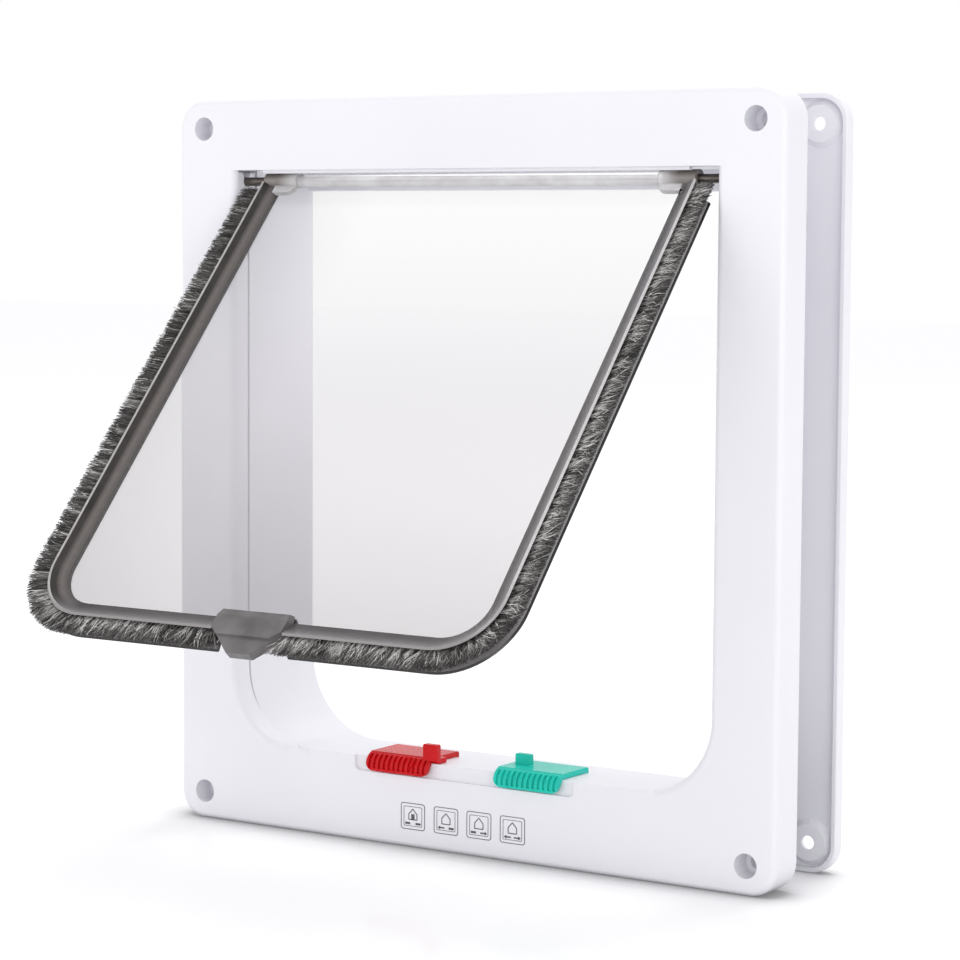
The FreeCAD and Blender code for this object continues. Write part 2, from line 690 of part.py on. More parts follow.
def closed_magnet_holder():
    front = -PANE_OFFSET + HOLDER_GAP
    back = -PANE_OFFSET - PANE_THICK - HOLDER_GAP
    grip = PANE_DROP - HOLDER_GRIP
    face = PANE_DROP + HOLDER_FACE_DROP
    foot = PANE_DROP + TONGUE_DROP
    points = [
        (front, grip),
        (HOLDER_FRONT - CHANNEL_WALL, grip + CHANNEL_WALL),
        (HOLDER_FRONT - CHANNEL_WALL / 2, PANE_DROP + CHANNEL_WALL),
        (HOLDER_FRONT, face),
        (HOLDER_FRONT - CHANNEL_WALL, face),
        (TONGUE_FRONT, foot),
        (-TONGUE_REAR, foot),
        (-TONGUE_REAR, face),
        (-HOLDER_REAR, face - CHANNEL_WALL),
        (-HOLDER_REAR, grip + CHANNEL_WALL),
        (back, grip),
        (back, PANE_DROP + HOLDER_GAP),
        (front, PANE_DROP + HOLDER_GAP),
    ]
    corners = [flap_point(LOCK_X - HOLDER_W / 2, room, drop) for room, drop in points]
    body = Part.Face(Part.makePolygon(corners + corners[:1])).extrude(V(HOLDER_W, 0, 0))
    half = HOLDER_W / 2
    top_inset = CHANNEL_WALL
    shape = [
        (-half + top_inset, grip - THROUGH),
        (-half, grip + HOLDER_GRIP + top_inset),
        (-half, PANE_DROP + TONGUE_CHAMFER_DROP),
        (-TONGUE_W / 2, foot),
        (TONGUE_W / 2, foot),
        (half, PANE_DROP + TONGUE_CHAMFER_DROP),
        (half, grip + HOLDER_GRIP + top_inset),
        (half - top_inset, grip - THROUGH),
    ]
    outline = [V(LOCK_X + x, HINGE_Y - 2 * HOLDER_REAR, HINGE_Z - drop) for x, drop in shape]
    front_view = Part.Face(Part.makePolygon(outline + outline[:1]))
    body = body.common(front_view.extrude(V(0, 4 * HOLDER_REAR, 0)))
    return body.cut(closed_flap_magnet_box(HOLDER_GAP))


def closed_flap_magnet_box(gap):
    half = MAGNET_W / 2 + gap
    back = HINGE_Y + HOLDER_REAR - FLAP_MAGNET_INSET
    top = HINGE_Z - PANE_DROP - CHANNEL_WALL + gap
    return box(LOCK_X - half, LOCK_X + half, back - FLAP_MAGNET_T - gap,
               back + (THROUGH if gap else 0), top - MAGNET_H - 2 * gap, top)


def slider_top():
    return RAIL_TOP + SLIDER_GAP + SLIDER_PLATE


def bulge_centre():
    """Middle of the slider's bulging grip, seen along X."""
    return RECESS_FLOOR + SLIDER_BULGE_SHIFT + SLIDER_GAP * 2, slider_top() - SLIDER_BULGE_R


def slider_section(place):
    """The slider from the side: ribbed grip in front, plate over the rail, hook behind."""
    top = slider_top()
    under = top - SLIDER_PLATE
    foot = top - SLIDER_LEG_DROP
    grip_y = RECESS_FLOOR - SLIDER_GAP
    bulge_y, bulge_z = bulge_centre()
    inner_r = SLIDER_BULGE_R - SLIDER_SKIN

    def on_bulge(r, z):
        return bulge_y - math.sqrt(r * r - (z - bulge_z) ** 2)

    inner_top = bulge_z + math.sqrt(inner_r ** 2 - (bulge_y - grip_y) ** 2)
    hook_in = RAIL_BACK + SLIDER_GAP
    hook_out = hook_in + SLIDER_HOOK
    barb_top = RAIL_SEAT - SLIDER_GAP
    barb_foot = barb_top - SLIDER_BARB_DROP
    round_r = SLIDER_PLATE / 2
    diagonal = round_r * (1 - math.sqrt(0.5))
    ridge_y = bulge_y - SLIDER_BULGE_SHIFT
    ridge_z = bulge_z + math.sqrt(SLIDER_BULGE_R ** 2 - SLIDER_BULGE_SHIFT ** 2)
    inner_foot = (on_bulge(inner_r, foot), foot)
    steps = [
        ((bulge_y - inner_r, bulge_z), (grip_y, inner_top)),
        (grip_y, under),
        (hook_in, under),
        (hook_in, barb_top),
        (hook_in - SLIDER_BARB, barb_top),
        (hook_in - SLIDER_BARB / 2, barb_foot),
        (hook_out, barb_foot),
        (hook_out, top - round_r),
        ((hook_out - diagonal, top - diagonal), (hook_out - round_r, top)),
        (ridge_y, top),
        (ridge_y, ridge_z),
        ((bulge_y - SLIDER_BULGE_R, bulge_z), (on_bulge(SLIDER_BULGE_R, foot), foot)),
        inner_foot,
    ]
    return section_wire(inner_foot, steps, place)


def slider_clip(x0):
    """The slider's section run along X, with the grip's lower corners rounded."""
    body = Part.Face(slider_section(lambda y, z: V(x0, y, z))).extrude(V(SLIDER_W, 0, 0))
    top = slider_top()
    view = rounded_outline(x0, x0 + SLIDER_W, top - SLIDER_LEG_DROP, top + THROUGH, SLIDER_END_R,
                           0, FRONT_FACE - 2 * SLIDER_BULGE_R)
    return body.common(slab(view, FRONT_DEPTH + RAIL_DEPTH + 2 * SLIDER_BULGE_R))


def grip_groove():
    """One groove over the grip, round the same axis as the bulge."""
    bulge_y, bulge_z = bulge_centre()
    top = slider_top()
    groove_r = SLIDER_BULGE_R - GROOVE_DEPTH
    corners = []
    for i in range(GROOVE_SIDES):
        a = 2 * math.pi * i / GROOVE_SIDES
        corners.append(V(-THROUGH, bulge_y + groove_r * math.cos(a), bulge_z + groove_r * math.sin(a)))
    core = Part.Face(Part.makePolygon(corners + corners[:1])).extrude(V(GROOVE_W + 2 * THROUGH, 0, 0))
    ring = cylinder_x(0, GROOVE_W, bulge_y, bulge_z, SLIDER_BULGE_R + THROUGH).cut(core)
    back = bulge_y - SLIDER_BULGE_SHIFT - GROOVE_W
    window = box(-THROUGH, GROOVE_W + THROUGH, bulge_y - 2 * SLIDER_BULGE_R, back,
                 top - SLIDER_LEG_DROP + GROOVE_BAND, top + THROUGH)
    return ring.common(window)


def grip_grooves(x0):
    pitch = (SLIDER_W - GROOVE_W) / GROOVE_COUNT
    groove = grip_groove()
    grooves = []
    for i in range(GROOVE_COUNT):
        copy = groove.copy()
        copy.translate(V(x0 + pitch * (i + 0.5), 0, 0))
        grooves.append(copy)
    return grooves


def lock_tab(x, y, rise):
    """Upright tab that blocks the flap, with its crown's corners rounded."""
    top = slider_top()
    tab = box(x - TAB_W / 2, x + TAB_W / 2, y, y + TAB_T, top - SLIDER_PLATE / 2, top + rise)
    crown = [e for e in tab.Edges
             if e.BoundBox.ZMin > top + rise - 1e-4 and e.BoundBox.YLength > TAB_T / 2]
    return tab.makeFillet(TAB_ROUND, crown)


def slider(centre_x, tab_x, tab_set_back, tab_rise):
    """Saddle clip with its lock tab, and a bridge that carries the tab beside the plate."""
    x0 = centre_x - SLIDER_W / 2
    body = slider_clip(x0).cut(grip_grooves(x0))
    tab_y = FRONT_FACE + tab_set_back
    bridge_y = max(tab_y, bulge_centre()[0] - SLIDER_BULGE_SHIFT)
    bridge = box(min(tab_x - TAB_W / 2, centre_x), max(tab_x + TAB_W / 2, centre_x),
                 bridge_y, bridge_y + 2 * TAB_T, slider_top() - SLIDER_PLATE, slider_top())
    return joined([body, lock_tab(tab_x, tab_y, tab_rise), bridge])


def slider_red():
    return slider(RED_X, RED_TAB_X, RED_TAB_SET_BACK, RED_TAB_RISE)


def slider_teal():
    return slider(TEAL_X, TEAL_TAB_X, TEAL_TAB_SET_BACK, TEAL_TAB_RISE)


def opened(shape):
    """The flap's pieces are drawn hanging shut and stand open towards the room."""
    turned = shape.copy()
    turned.rotate(V(0, HINGE_Y, HINGE_Z), V(1, 0, 0), -OPEN_ANGLE)
    return turned


NODES = {
    "front_frame": front_frame,
    "rear_frame": rear_frame,
    "sill_rail": sill_rail,
    "sill_magnet": sill_magnet,
    "hinge_bush_left": lambda: mirrored(hinge_bush()),
    "hinge_bush_right": hinge_bush,
    "hinge_pin_left": lambda: opened(mirrored(hinge_pin())),
    "hinge_pin_right": lambda: opened(hinge_pin()),
    "flap_panel": lambda: opened(closed_flap_panel()),
    "pile_strip_left": lambda: opened(closed_pile(-1)),
    "pile_strip_right": lambda: opened(closed_pile(1)),
    "magnet_holder": lambda: opened(closed_magnet_holder()),
    "flap_magnet": lambda: opened(closed_flap_magnet_box(0)),
    "slider_red": slider_red,
    "slider_teal": slider_teal,
}

for name, make in NODES.items():
    solid = make()
    solid.exportStep("parts/" + name + ".step")
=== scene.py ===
import math

import bpy
import numpy as np
from mathutils import Matrix, Vector


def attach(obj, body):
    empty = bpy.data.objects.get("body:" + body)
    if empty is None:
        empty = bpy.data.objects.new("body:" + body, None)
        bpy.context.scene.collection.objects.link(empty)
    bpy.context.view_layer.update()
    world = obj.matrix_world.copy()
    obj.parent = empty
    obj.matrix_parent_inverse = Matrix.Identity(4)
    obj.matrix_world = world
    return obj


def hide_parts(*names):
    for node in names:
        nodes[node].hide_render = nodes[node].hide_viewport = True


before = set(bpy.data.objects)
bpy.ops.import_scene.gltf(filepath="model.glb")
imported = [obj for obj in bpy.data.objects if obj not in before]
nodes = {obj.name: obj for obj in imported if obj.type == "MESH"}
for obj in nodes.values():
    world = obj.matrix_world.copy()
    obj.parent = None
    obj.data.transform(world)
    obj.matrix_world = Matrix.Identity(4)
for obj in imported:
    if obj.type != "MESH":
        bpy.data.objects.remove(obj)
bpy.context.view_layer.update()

MM = 0.001

# The flap's hinge line and how far it stands open, as in the CAD
HINGE = Vector((0.0, -7.1, 97.4)) * MM
OPEN = math.radians(41.65)
DOWN = Vector((0.0, -math.sin(OPEN), -math.cos(OPEN)))
TO_ROOM = Vector((0.0, -math.cos(OPEN), math.sin(OPEN)))

# Sizes in mm in the flap's own plane: the clear pane, its knuckles and the channel round its rim
PANE_HALF_W = 78.3
PANE_DROP = 176.3
PANE_CORNER_R = 13.3
PANE_FRONT = -0.66
PANE_BACK = -2.66
KNUCKLE_IN = 70.5
KNUCKLE_R = 3.0
GUSSET_DROP = 5.8
FRONT_WALL_END = 5.7
REAR_WALL_END = 9.3

# The pile, from its root in the channel to its trimmed, slanting tips. It fans out from the rear,
# where across is 0, to the front, where across is 1.
PILE_TOP = 4.7
PILE_ROOT = 2.3
PILE_REACH = 13.7
PILE_REACH_REAR = 7.6
ROOT_REAR = -2.5
ROOT_SPREAD = 1.6
TIP_REAR = -3.7
TIP_SPREAD = 6.1
CORE_SECTION = ((2.25, -2.3), (2.25, -1.0), (5.7, 0.35), (8.6, 0.9), (10.6, 0.3), (7.6, -3.2))
CORE_STEPS = 160

# One fibre is a ribbon with a step at each of these shares of its length
FIBRE_COUNT = 32500
FIBRE_STEPS = (0.0, 0.45, 0.75, 1.0)
FIBRE_HALF_W = 0.115
FIBRE_TAPER = 0.25
FIBRE_TWIST = 1.5
TUFT_RUN = 0.5
TUFT_LAYERS = 7
# Painted light just past the channel's edge and painted shade towards the tips, by reach in mm.
PAINTED_TIP_SHADE_REACH = (5.7, 8.5, 11.0, 13.7)
PAINTED_TIP_SHADE_TONE = (1.1, 1.25, 0.5, 0.28)

# Above the lock tabs the tips are shorter, and the magnet holder parts the pile
LOCK_X = 1.5
HOLDER_HALF_W = 13.0
HOLDER_GAP = 0.4
LOCK_ZONE_HALF_W = 17.0
LOCK_ZONE_DROP = 190.6

# Front face of the front frame, and the four printed signs below the locks
FACE_Y = -14.0
SIGN_XS = (-18.3, -5.0, 8.05, 21.15)
SIGN_Z = -114.3
SIGN_W = 9.7
SIGN_H = 9.0
SIGN_FRAMES = ((0.0, 0.24, 1.0), (1.15, 0.17, 0.4))
STROKE_Z = -2.4
STOP_HALF = 0.36
INK_THICK = 0.06

# Floor, in metres
FLOOR_Z = -0.125
FLOOR_HALF = 6.0


class Nodes:
    """Short hand for building a material's node tree."""

    def __init__(self, name):
        self.mat = bpy.data.materials.new(name)
        self.mat.use_nodes = True
        self.tree = self.mat.node_tree
        self.tree.nodes.clear()
        self.out = self.add("ShaderNodeOutputMaterial")

    def add(self, kind, inputs=None, **props):
        node = self.tree.nodes.new(kind)
        for key, value in props.items():
            setattr(node, key, value)
        for key, value in (inputs or {}).items():
            if isinstance(value, bpy.types.NodeSocket):
                self.tree.links.new(value, node.inputs[key])
            else:
                node.inputs[key].default_value = value
        return node

    def place(self):
        return self.add("ShaderNodeTexCoord").outputs["Object"]

    def noise(self, vector, scale, detail=2.0):
        return self.add("ShaderNodeTexNoise",
                        {"Vector": vector, "Scale": scale, "Detail": detail}).outputs["Fac"]

    def math(self, operation, a, b):
        return self.add("ShaderNodeMath", {0: a, 1: b}, operation=operation).outputs[0]

    def ramp(self, fac, stops):
        node = self.add("ShaderNodeValToRGB", {"Fac": fac})
        while len(node.color_ramp.elements) < len(stops):
            node.color_ramp.elements.new(0.5)
        for element, (pos, value) in zip(node.color_ramp.elements, stops):
            element.position = pos
            element.color = (*value, 1.0)
        return node.outputs["Color"]

    def mapped(self, value, low, high, to_low=0.0, to_high=1.0):
        """Maps low..high to to_low..to_high."""
        return self.add("ShaderNodeMapRange", {
            "Value": value, "From Min": low, "From Max": high, "To Min": to_low, "To Max": to_high,
        }).outputs[0]

    def span(self, value, low, high):
        """Maps 0..1 to low..high."""
        return self.mapped(value, 0.0, 1.0, low, high)

    def mix(self, fac, a, b):
        node = self.add("ShaderNodeMix", data_type="RGBA")
        for socket, value in ((0, fac), (6, a), (7, b)):
            if isinstance(value, bpy.types.NodeSocket):
                self.tree.links.new(value, node.inputs[socket])
            else:
                node.inputs[socket].default_value = value
        return node.outputs[2]

    def flap_plane(self):
        """Place in the flap's plane, in mm: across it, and down from the hinge line."""
        moved = self.add("ShaderNodeVectorMath", {0: self.place(), 1: tuple(HINGE)},
                         operation="SUBTRACT").outputs[0]
        across = self.add("ShaderNodeVectorMath", {0: moved, 1: (1 / MM, 0.0, 0.0)},
                          operation="DOT_PRODUCT").outputs["Value"]
        drop = self.add("ShaderNodeVectorMath", {0: moved, 1: tuple(DOWN / MM)},
                        operation="DOT_PRODUCT").outputs["Value"]
        return across, drop

    def rim_distance(self):
        """Distance in mm outside the clear pane's rounded edge, below zero inside it."""
        across, drop = self.flap_plane()
        off = self.math("ABSOLUTE", across, 0.0)
        wide = self.math("SUBTRACT", off, PANE_HALF_W - PANE_CORNER_R)
        low = self.math("SUBTRACT", drop, PANE_DROP - PANE_CORNER_R)
        outside_x = self.math("MAXIMUM", wide, 0.0)
        outside_y = self.math("MAXIMUM", low, 0.0)
        square = self.math("ADD", self.math("MULTIPLY", outside_x, outside_x),
                          self.math("MULTIPLY", outside_y, outside_y))
        inside = self.math("MINIMUM", self.math("MAXIMUM", wide, low), 0.0)
        reach = self.math("ADD", self.math("SQRT", square, 0.0), inside)
        return self.math("SUBTRACT", reach, PANE_CORNER_R)

    def bump(self, height, strength, distance):
        return self.add("ShaderNodeBump", {
            "Strength": strength, "Distance": distance, "Height": height,
        }).outputs[0]

    def principled(self, tint, rough, more=None):
        return self.add("ShaderNodeBsdfPrincipled", {
            "Base Color": tint, "Roughness": rough, **(more or {}),
        }).outputs[0]

    def finish(self, shader):
        self.tree.links.new(shader, self.out.inputs["Surface"])
        return self.mat


def white_plastic():
    n = Nodes("white_plastic")
    place = n.place()
    flow = n.noise(place, 14.0)
    grain = n.noise(place, 1500.0, 3.0)
    tint = n.ramp(flow, [(0.3, (0.835, 0.83, 0.875)), (0.7, (0.86, 0.855, 0.895))])
    rough = n.span(grain, 0.36, 0.48)
    bump = n.bump(grain, 0.04, 0.0002)
    return n.finish(n.principled(tint, rough, {"Normal": bump, "IOR": 1.45}))


def clear_shader(n, tint, rough):
    """Bends what is behind it a little and lets most of the light past."""
    wave = n.noise(n.place(), 25.0, 1.0)
    body = n.principled(tint, n.span(wave, rough, rough + 0.02), {
        "IOR": 1.46, "Transmission Weight": 1.0, "Normal": n.bump(wave, 0.02, 0.0005),
    })
    clear = n.add("ShaderNodeBsdfTransparent", {"Color": (0.9, 0.9, 0.9, 1.0)}).outputs[0]
    path = n.add("ShaderNodeLightPath").outputs["Is Shadow Ray"]
    return n.add("ShaderNodeMixShader", {0: path, 1: body, 2: clear}).outputs[0]


def clear_plastic():
    """Clear moulding tinted grey, greyer towards the lower edge and darker towards the left side.
    """
    n = Nodes("clear_plastic")
    across, drop = n.flap_plane()
    down = n.math("DIVIDE", drop, PANE_DROP)
    # Tint greyer down the pane.
    greyer_down = n.ramp(down, [(0.04, (0.98, 0.98, 0.98)), (0.3, (0.925, 0.92, 0.92)),
                         (0.55, (0.83, 0.815, 0.82)), (0.8, (0.69, 0.675, 0.68)),
                         (1.0, (0.60, 0.585, 0.59))])
    side = n.mapped(across, -PANE_HALF_W, -0.45 * PANE_HALF_W, 0.88, 1.0)
    tint = n.mix(side, (0.0, 0.0, 0.0, 1.0), greyer_down)
    return n.finish(clear_shader(n, tint, 0.015))


def channel_plastic():
    """Channel's wall over the pile, dark as one looks into it and paler as one looks along it, all
    painted light: painted shade of the pile behind the wall with a painted dark gap line and a
    painted highlight line at its edge, and a painted reflection along it.
    """
    n = Nodes("channel_plastic")
    reach = n.math("DIVIDE", n.rim_distance(), FRONT_WALL_END)
    streak = n.noise(n.place(), 700.0, 3.0)
    # Painted shade of the pile behind the wall, then a painted dark gap line and a painted
    # highlight line at the wall's edge.
    into = n.ramp(reach, [(0.0, (0.085, 0.078, 0.075)), (0.12, (0.14, 0.13, 0.125)),
                          (0.36, (0.225, 0.198, 0.19)), (0.52, (0.12, 0.105, 0.10)),
                          (0.62, (0.016, 0.014, 0.013)), (0.895, (0.004, 0.003, 0.003)),
                          (0.915, (0.78, 0.74, 0.73))])
    # Painted reflection, paler towards the wall's edge.
    along = n.ramp(reach, [(0.0, (0.045, 0.042, 0.043)), (0.4, (0.085, 0.08, 0.082)),
                           (0.7, (0.19, 0.185, 0.19)), (1.0, (0.38, 0.37, 0.38))])
    facing = n.add("ShaderNodeLayerWeight", {"Blend": 0.5}).outputs["Facing"]
    turn = n.mapped(facing, 0.35, 0.62)
    cloud = n.noise(n.place(), 110.0, 2.0)
    # Random streaks over the painted light.
    streaked_painted_light = n.mix(n.span(streak, 0.0, 0.5), n.mix(turn, into, along), (0.06, 0.055, 0.053, 1.0))
    tint = n.mix(n.span(cloud, 0.0, 0.3), streaked_painted_light, (0.20, 0.18, 0.175, 1.0))
    return n.finish(n.principled(tint, 0.2, {"IOR": 1.25, "Transmission Weight": 0.15}))


def bead_plastic(name, high, low):
    """Rounded end of a channel's wall, painted as a highlight or as shade, with its tint up the
    sides and along the lower edge.
    """
    n = Nodes(name)
    drop = n.flap_plane()[1]
    down = n.math("DIVIDE", drop, PANE_DROP)
    tint = n.ramp(down, [(0.88, high), (1.0, low)])
    fleck = n.noise(n.place(), 900.0, 3.0)
    dark = tuple(0.3 * v for v in low) + (1.0,)
    flecked = n.mix(n.span(fleck, 0.0, 0.35), tint, dark)
    return n.finish(n.principled(flecked, 0.25, {"IOR": 1.46}))


def frosted_plastic():
    """Gusset at the hinge, pale and cloudy."""
    n = Nodes("frosted_plastic")
    flow = n.noise(n.place(), 150.0)
    tint = n.ramp(flow, [(0.3, (0.60, 0.585, 0.58)), (0.7, (0.78, 0.77, 0.77))])
    return n.finish(n.principled(tint, 0.3, {"IOR": 1.3, "Transmission Weight": 0.35}))


def knuckle_plastic():
    """Clear plastic round a dark pin: brownish, with painted shade that darkens it towards the
    top, and pale past the pin's end.
    """
    n = Nodes("knuckle_plastic")
    across, drop = n.flap_plane()
    height = n.mapped(drop, -KNUCKLE_R, KNUCKLE_R)
    # Painted shade round the knuckle, darkest on top.
    shade = n.ramp(height, [(0.0, (0.05, 0.042, 0.038)), (0.2, (0.12, 0.10, 0.09)),
                            (0.5, (0.30, 0.26, 0.235)), (0.8, (0.42, 0.385, 0.36)),
                            (1.0, (0.30, 0.28, 0.27))])
    streak = n.noise(n.place(), 420.0, 3.0)
    # Random streaks over the painted shade.
    streaked_painted_shade = n.mix(n.span(streak, 0.0, 0.5), shade, (0.08, 0.065, 0.058, 1.0))
    inward = n.mapped(n.math("ABSOLUTE", across, 0.0), KNUCKLE_IN + 7.5, KNUCKLE_IN + 2.0)
    tint = n.mix(n.math("MULTIPLY", inward, 0.85), streaked_painted_shade, (0.72, 0.71, 0.71, 1.0))
    return n.finish(n.principled(tint, 0.15, {"IOR": 1.46, "Transmission Weight": 0.3}))


def smoked_plastic():
    n = Nodes("smoked_plastic")
    flow = n.noise(n.place(), 120.0)
    tint = n.ramp(flow, [(0.3, (0.12, 0.11, 0.112)), (0.7, (0.22, 0.207, 0.21))])
    return n.finish(n.principled(tint, 0.2, {"IOR": 1.46, "Transmission Weight": 0.25}))


def coloured_plastic(name, deep, light):
    n = Nodes(name)
    place = n.place()
    tint = n.ramp(n.noise(place, 90.0), [(0.25, deep), (0.75, light)])
    rough = n.span(n.noise(place, 2500.0), 0.22, 0.34)
    return n.finish(n.principled(tint, rough, {"IOR": 1.28}))


def steel():
    n = Nodes("steel")
    draw = n.add("ShaderNodeMapping", {
        "Vector": n.place(), "Scale": (40.0, 4000.0, 4000.0)}).outputs[0]
    lines = n.noise(draw, 1.0)
    tint = n.ramp(lines, [(0.3, (0.10, 0.088, 0.078)), (0.7, (0.17, 0.15, 0.135))])
    return n.finish(n.principled(tint, n.span(lines, 0.25, 0.45), {"Metallic": 1.0}))


def magnet_black():
    n = Nodes("magnet_black")
    grain = n.noise(n.place(), 900.0, 4.0)
    tint = n.ramp(grain, [(0.3, (0.02, 0.02, 0.022)), (0.7, (0.05, 0.05, 0.052))])
    return n.finish(n.principled(tint, 0.55))


def pile_fibre():
    """Each fibre has its own shade, painted light and shade included, which its mesh carries."""
    n = Nodes("pile_fibre")
    shade = n.add("ShaderNodeAttribute", attribute_name="shade").outputs["Fac"]
    tint = n.ramp(shade, [(0.0, (0.010, 0.009, 0.008)), (0.3, (0.055, 0.050, 0.047)),
                          (0.6, (0.24, 0.23, 0.22)), (1.0, (0.86, 0.84, 0.82))])
    return n.finish(n.principled(tint, 0.5, {"Sheen Weight": 0.2}))


def pile_backing():
    n = Nodes("pile_backing")
    weave = n.noise(n.place(), 1600.0)
    tint = n.ramp(weave, [(0.3, (0.012, 0.010, 0.010)), (0.7, (0.035, 0.031, 0.029))])
    return n.finish(n.principled(tint, 0.9))


def printed_ink():
    n = Nodes("printed_ink")
    grain = n.noise(n.place(), 1800.0, 3.0)
    tint = n.ramp(grain, [(0.3, (0.06, 0.06, 0.066)), (0.7, (0.13, 0.13, 0.14))])
    return n.finish(n.principled(tint, 0.5))


WHITE = white_plastic()
STEEL = steel()
MAGNET = magnet_black()
FINISHES = {
    "front_frame": WHITE,
    "rear_frame": WHITE,
    "sill_rail": WHITE,
    "hinge_bush_left": WHITE,
    "hinge_bush_right": WHITE,
    "hinge_pin_left": STEEL,
    "hinge_pin_right": STEEL,
    "magnet_holder": smoked_plastic(),
    "flap_magnet": MAGNET,
    "sill_magnet": MAGNET,
    "slider_red": coloured_plastic("red_plastic", (0.50, 0.003, 0.005), (0.64, 0.005, 0.010)),
    "slider_teal": coloured_plastic("teal_plastic", (0.012, 0.50, 0.40), (0.02, 0.62, 0.50)),
}
for node_name, material in FINISHES.items():
    data = nodes[node_name].data
    data.materials.clear()
    data.materials.append(material)


def linked(name, mesh, material):
    """New object of that mesh and material."""
    mesh.materials.append(material)
    obj = bpy.data.objects.new(name, mesh)
    bpy.context.scene.collection.objects.link(obj)
    return obj


def flap_coordinates(points):
    """Row frame in metres to flap coordinates in mm: across, drop, offset to the room."""
    p = (np.asarray(points, float) - np.array(HINGE)) / MM
    return np.stack([p[:, 0], p @ np.array(DOWN), p @ np.array(TO_ROOM)], 1)


def rim_reach(across, drop):
    """Distance outside the pane's rounded edge, as the channel's material has it."""
    wide = np.abs(across) - (PANE_HALF_W - PANE_CORNER_R)
    low = drop - (PANE_DROP - PANE_CORNER_R)
    outside = np.hypot(np.maximum(wide, 0), np.maximum(low, 0))
    return outside + np.minimum(np.maximum(wide, low), 0) - PANE_CORNER_R


def dress_flap():
    """Gives the pane, knuckles, channel walls and their beads their own finishes; on the walls'
    ends and the rear wall's face towards the room these are painted highlight and painted shade.
    """
    mesh = nodes["flap_panel"].data
    mesh.materials.clear()
    # The beads come as a painted highlight copy and a painted shade copy of one plastic.
    for material in (clear_plastic(), channel_plastic(),
                     bead_plastic("bead_painted_highlight", (0.74, 0.72, 0.72), (0.34, 0.32, 0.32)),
                     bead_plastic("bead_painted_shade", (0.014, 0.012, 0.012), (0.03, 0.028, 0.027)),
                     knuckle_plastic(), frosted_plastic()):
        mesh.materials.append(material)
    count = len(mesh.polygons)
    centres = np.zeros(count * 3)
    normals = np.zeros(count * 3)
    mesh.polygons.foreach_get("center", centres)
    mesh.polygons.foreach_get("normal", normals)
    at = flap_coordinates(centres.reshape(-1, 3))
    up = normals.reshape(-1, 3) @ np.array(TO_ROOM)
    across, drop, room = at.T
    reach = rim_reach(across, drop)
    kind = np.zeros(count, np.int32)
    knuckle = (np.abs(across) > KNUCKLE_IN - 0.01) & (np.hypot(drop, room) < KNUCKLE_R + 0.02)
    outside = (reach > 0.02) & ~knuckle & (drop > 0)
    kind[outside & (up > 0.5) & (room > PANE_FRONT - 0.1) & (reach < FRONT_WALL_END)] = 1
    kind[outside & (up < -0.5) & (room < PANE_BACK) & (reach < REAR_WALL_END)] = 1
    # Painted highlight on the front wall's end and on the rear wall's face towards the room.
    kind[outside & (room > 1.4) & (reach > FRONT_WALL_END - 0.2)] = 2
    kind[outside & (up > 0.5) & (room < PANE_BACK) & (reach < REAR_WALL_END)] = 2
    # Painted shade on the rear wall's end, with a painted highlight where it faces the room.
    kind[outside & (room < -4.2) & (reach > REAR_WALL_END + 0.02)] = 3
    kind[outside & (room < -4.2) & (reach > REAR_WALL_END + 0.02) & (up > 0.75)] = 2
    kind[~outside & (room > PANE_FRONT + 0.04) & (drop > 0) & (drop < GUSSET_DROP + 0.1)] = 5
    kind[knuckle] = 4
    mesh.polygons.foreach_set("material_index", kind)
    mesh.update()
    print("flap faces by finish", np.bincount(kind, minlength=6).tolist())


dress_flap()


def flap_to_row(points):
    """Flap coordinates in mm (across, drop, offset to the room) to the row frame in metres."""
    p = np.asarray(points, float) * MM
    axes = np.array([(1.0, 0.0, 0.0), tuple(DOWN), tuple(TO_ROOM)])
    return np.array(HINGE) + p @ axes


def rim_path(t):
    """Right-hand rim of the pane: place and outward direction at run lengths t, in mm."""
    cx = PANE_HALF_W - PANE_CORNER_R
    cl = PANE_DROP - PANE_CORNER_R
    side = cl - PILE_TOP
    quarter = PANE_CORNER_R * math.pi / 2
    t = np.asarray(t, float)
    place = np.zeros((len(t), 2))
    out = np.zeros((len(t), 2))
    on_side = t < side
    place[on_side] = np.stack([np.full(on_side.sum(), PANE_HALF_W), PILE_TOP + t[on_side]], 1)
    out[on_side] = (1, 0)
    on_arc = (t >= side) & (t < side + quarter)
    a = (t[on_arc] - side) / PANE_CORNER_R
    out[on_arc] = np.stack([np.cos(a), np.sin(a)], 1)
    place[on_arc] = np.array([cx, cl]) + PANE_CORNER_R * out[on_arc]
    on_foot = t >= side + quarter
    run = t[on_foot] - side - quarter
    place[on_foot] = np.stack([cx - run, np.full(on_foot.sum(), PANE_DROP)], 1)
    out[on_foot] = (0, 1)
    return place, out


def rim_length(end_x):
    cx = PANE_HALF_W - PANE_CORNER_R
    return PANE_DROP - PANE_CORNER_R - PILE_TOP + PANE_CORNER_R * math.pi / 2 + cx - end_x


def rim_samples(length, count, rng):
    """Run lengths for fibres, denser along the corner where the tips fan out."""
    side = PANE_DROP - PANE_CORNER_R - PILE_TOP
    quarter = PANE_CORNER_R * math.pi / 2
    stretch = (PANE_CORNER_R + PILE_REACH) / PANE_CORNER_R
    total = length - quarter + quarter * stretch
    u = rng.random(count) * total
    return np.where(u < side, u,
                    np.where(u < side + quarter * stretch, side + (u - side) / stretch,
                             u - quarter * (stretch - 1)))


